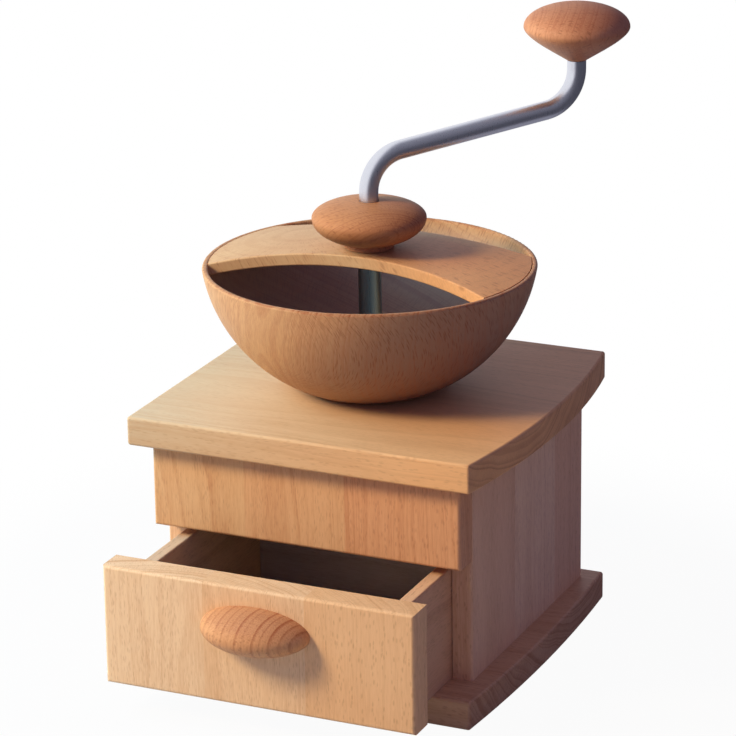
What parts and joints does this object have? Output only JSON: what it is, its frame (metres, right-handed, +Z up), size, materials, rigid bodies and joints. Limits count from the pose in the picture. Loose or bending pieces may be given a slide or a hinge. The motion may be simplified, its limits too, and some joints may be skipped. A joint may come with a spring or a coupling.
{
  "type": "hand grain mill",
  "caption": "Hand-cranked grain mill: square wooden case with a meal drawer, turned hopper bowl with a domed bridge, fineness knob, bent steel crank with a mushroom handle, and millstones.",
  "frame": {"origin": "centre of the base plate's underside, on the axis of the drive shaft", "axes": "+Z up along the drive shaft, -Y to the front, where the drawer slides out, +X to the right"},
  "size_m": [0.2012, 0.2852, 0.3325],
  "materials": {
    "beech": "sawn and sanded beech, thinly oiled",
    "turned_beech": "lathe-turned beech, smooth and thinly oiled",
    "plywood": "thin beech plywood, sanded",
    "polished_steel": "drawn round bar, polished along its length",
    "zinc_steel": "zinc-plated steel",
    "bronze": "machined bearing bronze",
    "cast_alloy": "cast and turned alloy",
    "moulded_plastic": "pale food-safe moulded plastic",
    "corundum_stone": "cast grit stone with a cut dressing"
  },
  "bodies": {
    "case": {"base_plate": "beech", "top_plate": "beech", "left_side_panel": "beech", "right_side_panel": "beech", "back_panel": "beech", "front_board": "beech", "left_drawer_rail": "beech", "right_drawer_rail": "beech", "corner_block_1": "beech", "corner_block_2": "beech", "corner_block_3": "beech", "corner_block_4": "beech", "front_board_dowels": "beech", "back_panel_dowels": "beech", "hopper_bowl": "turned_beech", "bowl_bridge": "turned_beech", "base_screw_1": "zinc_steel", "base_screw_2": "zinc_steel", "base_screw_3": "zinc_steel", "base_screw_4": "zinc_steel", "top_screw_1": "zinc_steel", "top_screw_2": "zinc_steel", "top_screw_3": "zinc_steel", "top_screw_4": "zinc_steel", "bowl_screw_1": "zinc_steel", "bowl_screw_2": "zinc_steel", "bowl_screw_3": "zinc_steel", "holder_screw_1": "zinc_steel", "holder_screw_2": "zinc_steel", "holder_screw_3": "zinc_steel", "bridge_bush": "bronze", "throat_bearing": "cast_alloy", "stone_holder": "moulded_plastic", "upper_millstone": "corundum_stone"},
    "drawer": {"drawer_front": "beech", "drawer_left_side": "beech", "drawer_right_side": "beech", "drawer_back": "beech", "drawer_bottom": "plywood", "drawer_dowels": "beech", "drawer_pull": "turned_beech", "drawer_pull_screw": "zinc_steel"},
    "washer": {"thrust_washer": "zinc_steel"},
    "knob": {"fineness_knob": "turned_beech", "knob_insert": "bronze"},
    "shaft": {"drive_shaft": "polished_steel", "crank_rod": "polished_steel", "lower_millstone": "corundum_stone", "stone_carrier": "cast_alloy", "carrier_pin": "zinc_steel", "shaft_washer": "zinc_steel", "shaft_nut": "zinc_steel", "handle_circlip": "zinc_steel"},
    "handle": {"crank_handle": "turned_beech", "handle_bush": "bronze"}
  },
  "joints": [
    {"name": "drawer_slide", "type": "slide", "parent": "case", "child": "drawer", "axis": [0, -1, 0], "range_m": [-0.0577, 0.06]},
    {"name": "crank_turn", "type": "hinge", "parent": "case", "child": "washer", "pos_m": [0, 0, 0.22], "axis": [0, 0, 1], "continuous": true},
    {"name": "fineness_turn", "type": "hinge", "parent": "washer", "child": "knob", "pos_m": [0, 0, 0.2337], "axis": [0, 0, 1], "range_deg": [-180, 180]},
    {"name": "stone_lift", "type": "slide", "parent": "washer", "child": "shaft", "axis": [0, 0, 1], "range_m": [-0.00075, 0.00075]},
    {"name": "handle_spin", "type": "hinge", "parent": "shaft", "child": "handle", "pos_m": [0.07828, 0.09329, 0.31], "axis": [0, 0, 1], "continuous": true}
  ],
  "couplings": [
    {"joint": "fineness_turn", "follows": "stone_lift", "rad_per_m": -4188.8}
  ]
}
